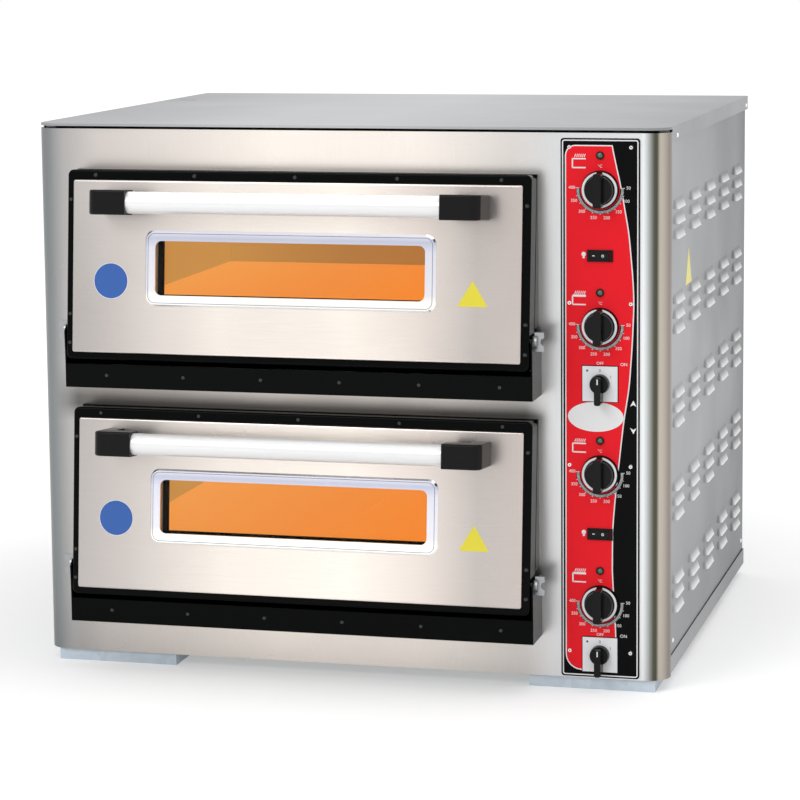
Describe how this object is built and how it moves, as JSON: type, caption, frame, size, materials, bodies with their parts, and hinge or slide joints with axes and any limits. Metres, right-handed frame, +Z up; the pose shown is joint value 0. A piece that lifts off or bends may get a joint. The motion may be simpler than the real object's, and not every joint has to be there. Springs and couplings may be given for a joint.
{
  "type": "countertop pizza oven",
  "caption": "Countertop electric pizza oven with two baking decks, leaning drop-down doors with windows, louvred sides and a control fascia of knobs and switches.",
  "frame": {"origin": "on the standing surface, under the middle of the overall box", "axes": "+Z up, -Y to the front (doors and controls), +X to the right-hand side seen from the front"},
  "size_m": [0.904, 0.8886, 0.772],
  "materials": {
    "stainless": "brushed, bright",
    "galvanised": "dull zinc",
    "chamber_steel": "aluminised, warm grey",
    "black_enamel": "gloss vitreous enamel",
    "baking_stone": "fired chamotte, fine grain",
    "mineral_wool": "pressed mineral wool",
    "heating_rod": "dark oxidised steel",
    "gasket_rope": "woven glass fibre",
    "window_glass": "clear tempered glass",
    "lamp_glass": "frosted lamp cover",
    "handle_tube": "polished, nearly white",
    "black_plastic": "fine satin moulding",
    "knob_plastic": "satin gloss",
    "fascia_print": "gloss screen print, red on black",
    "white_plate": "satin white",
    "lamp_green": "translucent green lens",
    "screw_steel": "bright plated"
  },
  "bodies": {
    "case": {"base_tray": "galvanised", "bay_wall": "galvanised", "cable_gland": "black_plastic", "case_screws": "screw_steel", "chamber_lamps": "lamp_glass", "control_fascia": "fascia_print", "fascia_screws": "screw_steel", "feet": "galvanised", "front_panel": "stainless", "hinge_bolts": "screw_steel", "indicator_lamps": "lamp_green", "insulation": "mineral_wool", "left_side_panel": "stainless", "lower_baking_stones": "baking_stone", "lower_chamber": "chamber_steel", "lower_heating_elements": "heating_rod", "lower_mouth_frame": "black_enamel", "lower_sill": "black_enamel", "mouth_gaskets": "gasket_rope", "rear_panel": "stainless", "right_side_panel": "stainless", "rocker_frames": "black_plastic", "selector_plates": "white_plate", "selector_switches": "black_plastic", "sill_screws": "screw_steel", "terminal_block": "black_plastic", "thermostats": "black_plastic", "top_cover": "stainless", "upper_baking_stones": "baking_stone", "upper_chamber": "chamber_steel", "upper_heating_elements": "heating_rod", "upper_mouth_frame": "black_enamel", "upper_sill": "black_enamel"},
    "upper_door": {"upper_door_casing": "black_enamel", "upper_door_skin": "stainless", "upper_door_insulation": "mineral_wool", "upper_window_trim": "stainless", "upper_window_glass": "window_glass", "upper_handle_tube": "handle_tube", "upper_handle_brackets": "black_plastic", "upper_door_screws": "screw_steel"},
    "lower_door": {"lower_door_casing": "black_enamel", "lower_door_skin": "stainless", "lower_door_insulation": "mineral_wool", "lower_window_trim": "stainless", "lower_window_glass": "window_glass", "lower_handle_tube": "handle_tube", "lower_handle_brackets": "black_plastic", "lower_door_screws": "screw_steel"},
    "upper_top_heat_knob_turning": {"upper_top_heat_knob": "knob_plastic"},
    "upper_bottom_heat_knob_turning": {"upper_bottom_heat_knob": "knob_plastic"},
    "lower_top_heat_knob_turning": {"lower_top_heat_knob": "knob_plastic"},
    "lower_bottom_heat_knob_turning": {"lower_bottom_heat_knob": "knob_plastic"},
    "upper_selector_knob_turning": {"upper_selector_knob": "knob_plastic"},
    "lower_selector_knob_turning": {"lower_selector_knob": "knob_plastic"},
    "upper_rocker_key": {"upper_rocker": "knob_plastic"},
    "lower_rocker_key": {"lower_rocker": "knob_plastic"}
  },
  "joints": [
    {"name": "upper_door_hinge", "type": "hinge", "parent": "case", "child": "upper_door", "pos_m": [-0.056, -0.37065, 0.487], "axis": [1, 0, 0], "range_deg": [0, 90]},
    {"name": "lower_door_hinge", "type": "hinge", "parent": "case", "child": "lower_door", "pos_m": [-0.056, -0.37065, 0.153], "axis": [1, 0, 0], "range_deg": [0, 90]},
    {"name": "upper_top_heat_turn", "type": "hinge", "parent": "case", "child": "upper_top_heat_knob_turning", "pos_m": [0.358, -0.32765, 0.689], "axis": [0, 1, 0], "range_deg": [0, 270]},
    {"name": "upper_bottom_heat_turn", "type": "hinge", "parent": "case", "child": "upper_bottom_heat_knob_turning", "pos_m": [0.358, -0.32765, 0.504], "axis": [0, 1, 0], "range_deg": [0, 270]},
    {"name": "lower_top_heat_turn", "type": "hinge", "parent": "case", "child": "lower_top_heat_knob_turning", "pos_m": [0.358, -0.32765, 0.302], "axis": [0, 1, 0], "range_deg": [0, 270]},
    {"name": "lower_bottom_heat_turn", "type": "hinge", "parent": "case", "child": "lower_bottom_heat_knob_turning", "pos_m": [0.358, -0.32765, 0.122], "axis": [0, 1, 0], "range_deg": [0, 270]},
    {"name": "upper_selector_turn", "type": "hinge", "parent": "case", "child": "upper_selector_knob_turning", "pos_m": [0.358, -0.32965, 0.426], "axis": [0, 1, 0], "range_deg": [0, 60]},
    {"name": "lower_selector_turn", "type": "hinge", "parent": "case", "child": "lower_selector_knob_turning", "pos_m": [0.358, -0.32965, 0.051], "axis": [0, 1, 0], "range_deg": [0, 60]},
    {"name": "upper_rocker_tilt", "type": "hinge", "parent": "case", "child": "upper_rocker_key", "pos_m": [0.358, -0.32765, 0.6], "axis": [0, 0, 1], "range_deg": [0, 16]},
    {"name": "lower_rocker_tilt", "type": "hinge", "parent": "case", "child": "lower_rocker_key", "pos_m": [0.358, -0.32765, 0.219], "axis": [0, 0, 1], "range_deg": [0, 16]}
  ]
}
